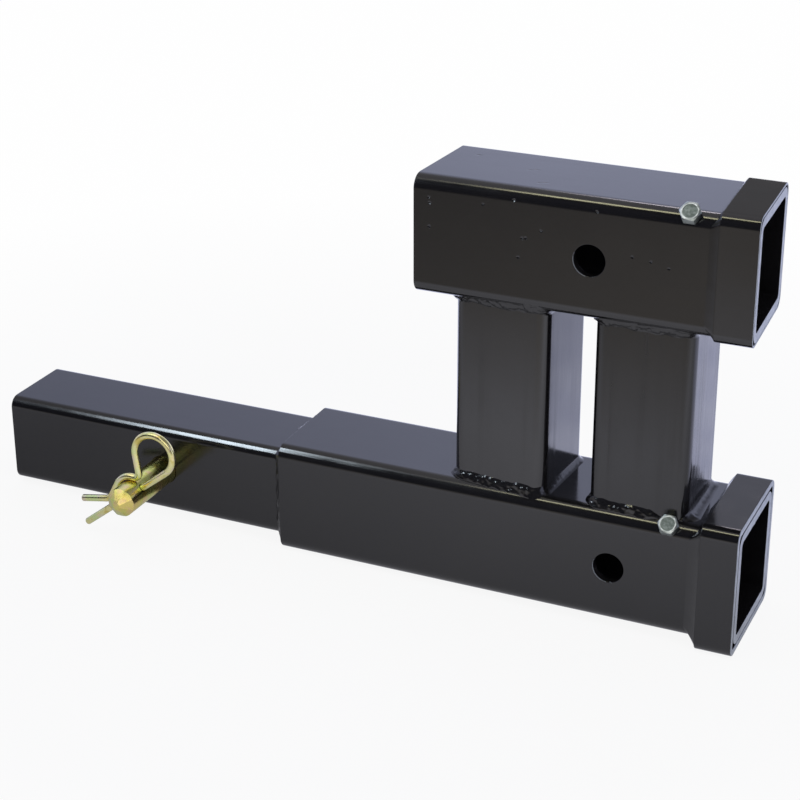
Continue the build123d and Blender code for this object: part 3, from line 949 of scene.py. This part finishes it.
def floor():
    """Pale floor under the two edges that the part rests on."""
    run = LOWER_COLLAR_LOW.x - LOWER_LOW.x
    fall = LOWER_LOW.z - LOWER_COLLAR_LOW.z
    corners = [(x * FLOOR_HALF, y * FLOOR_HALF, 0) for x, y in ((-1, -1), (1, -1), (1, 1), (-1, 1))]
    mesh = bpy.data.meshes.new("floor")
    mesh.from_pydata(corners, [], [(0, 1, 2, 3)])
    mesh.materials.append(floor_material())
    plane = bpy.data.objects.new("floor", mesh)
    bpy.context.scene.collection.objects.link(plane)
    place = Matrix.Translation((LOWER_COLLAR_LOW.x, 0, LOWER_COLLAR_LOW.z))
    plane.matrix_world = place @ Matrix.Rotation(math.atan2(fall, run), 4, "Y")


def world():
    """Soft daylight, a little blue: bright walls and a greyer ceiling, dimmer on the left,
    darker overhead on the right and almost dark in front. The camera sees it as white."""
    sky = bpy.data.worlds.new("studio")
    bpy.context.scene.world = sky
    nodes = Nodes(sky)
    direction = nodes.add("ShaderNodeTexCoord").outputs["Generated"]
    x, y, height = nodes.split(direction)
    walls = nodes.scaled(WALLS, nodes.remap(height, 0.44, 0.54, 1.0, 1.28))
    room = nodes.blend(nodes.share(height, 0.56, 0.82), walls, CEILING)
    left = nodes.remap(x, -0.55, -0.33, 0.72, 1.05)
    right = nodes.remap(x, -0.05, 0.15, 1.0, nodes.remap(height, 0.36, 0.46, 1.0, 0.3))
    front = nodes.remap(y, -0.44, -0.32, 0.07, 1.0)
    level = nodes.math("MULTIPLY", nodes.math("MULTIPLY", left, right), front)
    in_camera = nodes.add("ShaderNodeLightPath").outputs["Is Camera Ray"]
    seen = nodes.blend(in_camera, nodes.scaled(room, level), SEEN_WHITE)
    background = nodes.add("ShaderNodeBackground", {"Color": seen, "Strength": 1.0})
    nodes.surface(background.outputs[0], "ShaderNodeOutputWorld")


def area_lamp(name, size, radiance, colour, stand):
    """Area lamp of a given brightness, whatever its size."""
    data = bpy.data.lights.new(name, "AREA")
    data.shape = "RECTANGLE"
    data.size, data.size_y = size
    data.energy = radiance * math.pi * size[0] * size[1]
    data.color = colour
    lamp = bpy.data.objects.new(name, data)
    bpy.context.scene.collection.objects.link(lamp)
    lamp.matrix_world = stand
    lamp.visible_camera = False
    return lamp


def softbox(name, place, target, size, radiance):
    """White lamp at a place, aimed at a target."""
    aim = (Vector(target) - Vector(place)).to_track_quat("-Z", "Y").to_matrix().to_4x4()
    lamp = area_lamp(name, size, radiance, (1, 1, 1), Matrix.Translation(place) @ aim)
    lamp.visible_glossy = False


def strip_lamp(name, start, end, lean, tall, radiance, colour, lit):
    """Strip along X that shows only in reflections on the pieces it is set for."""
    lean = math.radians(lean)
    middle = ((start + end) / 2, -STRIP_REACH * math.sin(lean), STRIP_REACH * math.cos(lean))
    stand = Matrix.Translation(middle) @ Matrix.Rotation(lean, 4, "X")
    lamp = area_lamp(name, (end - start, tall), radiance, colour, stand)
    lamp.visible_diffuse = False
    lamp.light_linking.receiver_collection = lit


def camera():
    """Camera at the photograph's angle."""
    data = bpy.data.cameras.new("camera")
    data.lens = CAMERA_LENS
    data.sensor_width = CAMERA_SENSOR
    data.shift_x, data.shift_y = CAMERA_SHIFT
    eye = bpy.data.objects.new("camera", data)
    bpy.context.scene.collection.objects.link(eye)
    turn = Matrix.Rotation(math.radians(CAMERA_AZIMUTH), 4, "Z")
    tip = Matrix.Rotation(math.radians(90 - CAMERA_ELEVATION), 4, "X")
    roll = Matrix.Rotation(math.radians(CAMERA_ROLL), 4, "Z")
    eye.matrix_world = Matrix.Translation(CAMERA_PLACE) @ turn @ tip @ roll
    bpy.context.scene.camera = eye


floor()
world()
for box in SOFTBOXES:
    softbox(*box)
for strip in STRIPS:
    strip_lamp(*strip)
camera()
bpy.context.scene.view_settings.view_transform = "Standard"
